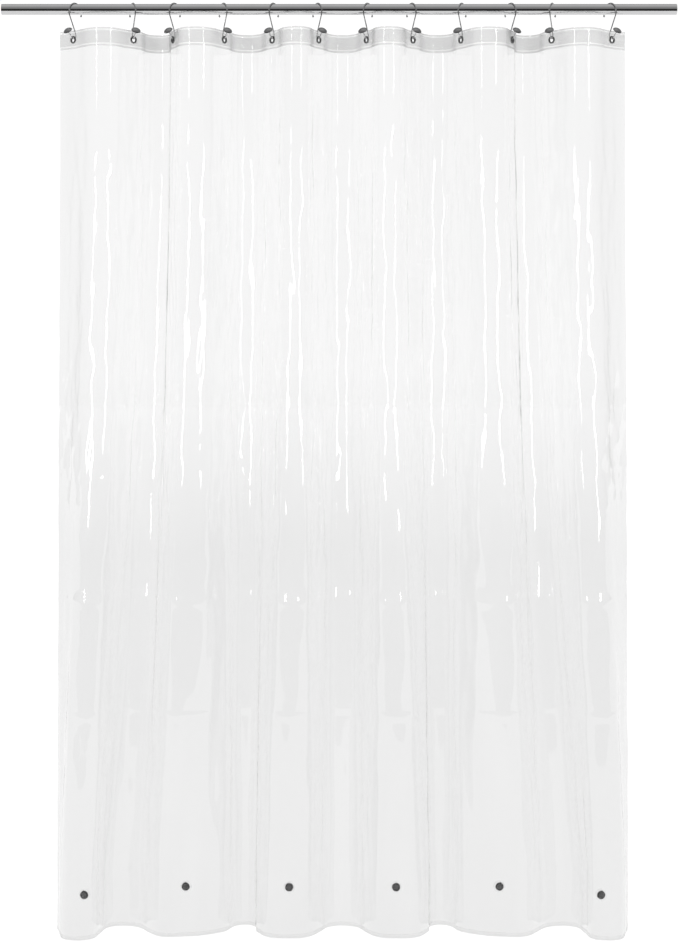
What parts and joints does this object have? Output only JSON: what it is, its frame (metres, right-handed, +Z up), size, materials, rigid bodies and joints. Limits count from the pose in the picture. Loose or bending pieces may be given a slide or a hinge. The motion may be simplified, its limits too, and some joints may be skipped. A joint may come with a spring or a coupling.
{
  "type": "shower curtain",
  "caption": "Clear film shower curtain gathered in folds, hung by wire hooks with domed buttons through metal grommets from a round chrome rod, with disc magnets along its lower edge.",
  "frame": {"origin": "middle of the rod's axis", "axes": "+X along the rod to the right seen from the front, +Y to the back, +Z up"},
  "size_m": [1.37, 0.1226, 1.8862],
  "materials": {
    "rod_chrome": "polished",
    "hook_chrome": "polished",
    "button_chrome": "polished",
    "grommet_steel": "satin",
    "clear_film": "gloss",
    "header_film": "gloss",
    "cover_film": "gloss",
    "magnet_dark": "satin"
  },
  "bodies": {
    "rod": {"rod": "rod_chrome"},
    "curtain": {"film": "clear_film", "header_band": "header_film", "bottom_hem": "clear_film"},
    "grommet_12": {"grommet_12": "grommet_steel"},
    "grommet_11": {"grommet_11": "grommet_steel"},
    "grommet_10": {"grommet_10": "grommet_steel"},
    "grommet_09": {"grommet_09": "grommet_steel"},
    "grommet_08": {"grommet_08": "grommet_steel"},
    "grommet_07": {"grommet_07": "grommet_steel"},
    "grommet_06": {"grommet_06": "grommet_steel"},
    "grommet_05": {"grommet_05": "grommet_steel"},
    "grommet_04": {"grommet_04": "grommet_steel"},
    "grommet_03": {"grommet_03": "grommet_steel"},
    "grommet_02": {"grommet_02": "grommet_steel"},
    "grommet_01": {"grommet_01": "grommet_steel"},
    "hook_01": {"hook_01": "hook_chrome", "hook_button_01": "button_chrome"},
    "hook_02": {"hook_02": "hook_chrome", "hook_button_02": "button_chrome"},
    "hook_03": {"hook_03": "hook_chrome", "hook_button_03": "button_chrome"},
    "hook_04": {"hook_04": "hook_chrome", "hook_button_04": "button_chrome"},
    "hook_05": {"hook_05": "hook_chrome", "hook_button_05": "button_chrome"},
    "hook_06": {"hook_06": "hook_chrome", "hook_button_06": "button_chrome"},
    "hook_07": {"hook_07": "hook_chrome", "hook_button_07": "button_chrome"},
    "hook_08": {"hook_08": "hook_chrome", "hook_button_08": "button_chrome"},
    "hook_09": {"hook_09": "hook_chrome", "hook_button_09": "button_chrome"},
    "hook_10": {"hook_10": "hook_chrome", "hook_button_10": "button_chrome"},
    "hook_11": {"hook_11": "hook_chrome", "hook_button_11": "button_chrome"},
    "hook_12": {"hook_12": "hook_chrome", "hook_button_12": "button_chrome"},
    "magnet_01": {"magnet_01": "magnet_dark", "magnet_cover_01": "cover_film"},
    "magnet_02": {"magnet_02": "magnet_dark", "magnet_cover_02": "cover_film"},
    "magnet_03": {"magnet_03": "magnet_dark", "magnet_cover_03": "cover_film"},
    "magnet_04": {"magnet_04": "magnet_dark", "magnet_cover_04": "cover_film"},
    "magnet_05": {"magnet_05": "magnet_dark", "magnet_cover_05": "cover_film"},
    "magnet_06": {"magnet_06": "magnet_dark", "magnet_cover_06": "cover_film"}
  },
  "joints": [
    {"name": "swing", "type": "hinge", "parent": "rod", "child": "curtain", "pos_m": [0, 0, 0], "axis": [1, 0, 0], "range_deg": [-20, 20]},
    {"name": "draw", "type": "slide", "parent": "curtain", "child": "grommet_12", "axis": [-1, 0, 0], "range_m": [0, 0.6209], "deforming": ["film", "header_band", "bottom_hem"]},
    {"name": "draw_11", "type": "slide", "parent": "curtain", "child": "grommet_11", "axis": [-1, 0, 0], "range_m": [0, 0.5541]},
    {"name": "draw_10", "type": "slide", "parent": "curtain", "child": "grommet_10", "axis": [-1, 0, 0], "range_m": [0, 0.5098]},
    {"name": "draw_09", "type": "slide", "parent": "curtain", "child": "grommet_09", "axis": [-1, 0, 0], "range_m": [0, 0.4529]},
    {"name": "draw_08", "type": "slide", "parent": "curtain", "child": "grommet_08", "axis": [-1, 0, 0], "range_m": [0, 0.3991]},
    {"name": "draw_07", "type": "slide", "parent": "curtain", "child": "grommet_07", "axis": [-1, 0, 0], "range_m": [0, 0.3476]},
    {"name": "draw_06", "type": "slide", "parent": "curtain", "child": "grommet_06", "axis": [-1, 0, 0], "range_m": [0, 0.2941]},
    {"name": "draw_05", "type": "slide", "parent": "curtain", "child": "grommet_05", "axis": [-1, 0, 0], "range_m": [0, 0.2425]},
    {"name": "draw_04", "type": "slide", "parent": "curtain", "child": "grommet_04", "axis": [-1, 0, 0], "range_m": [0, 0.1888]},
    {"name": "draw_03", "type": "slide", "parent": "curtain", "child": "grommet_03", "axis": [-1, 0, 0], "range_m": [0, 0.1319]},
    {"name": "draw_02", "type": "slide", "parent": "curtain", "child": "grommet_02", "axis": [-1, 0, 0], "range_m": [0, 0.0876]},
    {"name": "draw_01", "type": "slide", "parent": "curtain", "child": "grommet_01", "axis": [-1, 0, 0], "range_m": [0, 0.0206]},
    {"name": "turn_01", "type": "hinge", "parent": "grommet_01", "child": "hook_01", "pos_m": [-0.53882, -0.00431, -0.06], "axis": [0, 0, 1], "range_deg": [0, 10.5]},
    {"name": "turn_02", "type": "hinge", "parent": "grommet_02", "child": "hook_02", "pos_m": [-0.4171, -0.00482, -0.06], "axis": [0, 0, 1], "range_deg": [-10.5, 0]},
    {"name": "turn_03", "type": "hinge", "parent": "grommet_03", "child": "hook_03", "pos_m": [-0.33653, -0.00443, -0.06], "axis": [0, 0, 1], "range_deg": [0, 3]},
    {"name": "turn_04", "type": "hinge", "parent": "grommet_04", "child": "hook_04", "pos_m": [-0.23313, -0.00464, -0.06], "axis": [0, 0, 1], "range_deg": [-6.5, 0]},
    {"name": "turn_05", "type": "hinge", "parent": "grommet_05", "child": "hook_05", "pos_m": [-0.13535, -0.0046, -0.06], "axis": [0, 0, 1], "range_deg": [0, 10.5]},
    {"name": "turn_06", "type": "hinge", "parent": "grommet_06", "child": "hook_06", "pos_m": [-0.04167, -0.00455, -0.06], "axis": [0, 0, 1], "range_deg": [-10.5, 0]},
    {"name": "turn_07", "type": "hinge", "parent": "grommet_07", "child": "hook_07", "pos_m": [0.05567, -0.00455, -0.06], "axis": [0, 0, 1], "range_deg": [0, 10.5]},
    {"name": "turn_08", "type": "hinge", "parent": "grommet_08", "child": "hook_08", "pos_m": [0.14935, -0.0046, -0.06], "axis": [0, 0, 1], "range_deg": [-10.5, 0]},
    {"name": "turn_09", "type": "hinge", "parent": "grommet_09", "child": "hook_09", "pos_m": [0.24713, -0.00464, -0.06], "axis": [0, 0, 1], "range_deg": [0, 6.5]},
    {"name": "turn_10", "type": "hinge", "parent": "grommet_10", "child": "hook_10", "pos_m": [0.35053, -0.00443, -0.06], "axis": [0, 0, 1], "range_deg": [-3, 0]},
    {"name": "turn_11", "type": "hinge", "parent": "grommet_11", "child": "hook_11", "pos_m": [0.4311, -0.00482, -0.06], "axis": [0, 0, 1], "range_deg": [0, 10.5]},
    {"name": "turn_12", "type": "hinge", "parent": "grommet_12", "child": "hook_12", "pos_m": [0.55282, -0.00431, -0.06], "axis": [0, 0, 1], "range_deg": [-10.5, 0]},
    {"name": "magnet_draw_01", "type": "slide", "parent": "curtain", "child": "magnet_01", "axis": [-1, 0, 0], "range_m": [0, 0.0365]},
    {"name": "magnet_draw_02", "type": "slide", "parent": "curtain", "child": "magnet_02", "axis": [-1, 0, 0], "range_m": [0, 0.147]},
    {"name": "magnet_draw_03", "type": "slide", "parent": "curtain", "child": "magnet_03", "axis": [-1, 0, 0], "range_m": [0, 0.2618]},
    {"name": "magnet_draw_04", "type": "slide", "parent": "curtain", "child": "magnet_04", "axis": [-1, 0, 0], "range_m": [0, 0.3799]},
    {"name": "magnet_draw_05", "type": "slide", "parent": "curtain", "child": "magnet_05", "axis": [-1, 0, 0], "range_m": [0, 0.4947]},
    {"name": "magnet_draw_06", "type": "slide", "parent": "curtain", "child": "magnet_06", "axis": [-1, 0, 0], "range_m": [0, 0.6052]}
  ],
  "couplings": [
    {"joint": "draw_11", "follows": "draw", "ratio": 0.89218},
    {"joint": "draw_10", "follows": "draw", "ratio": 0.8208},
    {"joint": "draw_09", "follows": "draw", "ratio": 0.72921},
    {"joint": "draw_08", "follows": "draw", "ratio": 0.64259},
    {"joint": "draw_07", "follows": "draw", "ratio": 0.5596},
    {"joint": "draw_06", "follows": "draw", "ratio": 0.47337},
    {"joint": "draw_05", "follows": "draw", "ratio": 0.39039},
    {"joint": "draw_04", "follows": "draw", "ratio": 0.30377},
    {"joint": "draw_03", "follows": "draw", "ratio": 0.21218},
    {"joint": "draw_02", "follows": "draw", "ratio": 0.1408},
    {"joint": "draw_01", "follows": "draw", "ratio": 0.03298},
    {"joint": "turn_01", "follows": "draw", "rad_per_m": 0.2811},
    {"joint": "turn_02", "follows": "draw", "rad_per_m": -0.2811},
    {"joint": "turn_03", "follows": "draw", "rad_per_m": 0.07027},
    {"joint": "turn_04", "follows": "draw", "rad_per_m": -0.16866},
    {"joint": "turn_05", "follows": "draw", "rad_per_m": 0.2811},
    {"joint": "turn_06", "follows": "draw", "rad_per_m": -0.2811},
    {"joint": "turn_07", "follows": "draw", "rad_per_m": 0.2811},
    {"joint": "turn_08", "follows": "draw", "rad_per_m": -0.2811},
    {"joint": "turn_09", "follows": "draw", "rad_per_m": 0.16866},
    {"joint": "turn_10", "follows": "draw", "rad_per_m": -0.07027},
    {"joint": "turn_11", "follows": "draw", "rad_per_m": 0.2811},
    {"joint": "turn_12", "follows": "draw", "rad_per_m": -0.2811},
    {"joint": "magnet_draw_01", "follows": "draw", "ratio": 0.05849},
    {"joint": "magnet_draw_02", "follows": "draw", "ratio": 0.23655},
    {"joint": "magnet_draw_03", "follows": "draw", "ratio": 0.42142},
    {"joint": "magnet_draw_04", "follows": "draw", "ratio": 0.61156},
    {"joint": "magnet_draw_05", "follows": "draw", "ratio": 0.79643},
    {"joint": "magnet_draw_06", "follows": "draw", "ratio": 0.97449}
  ]
}
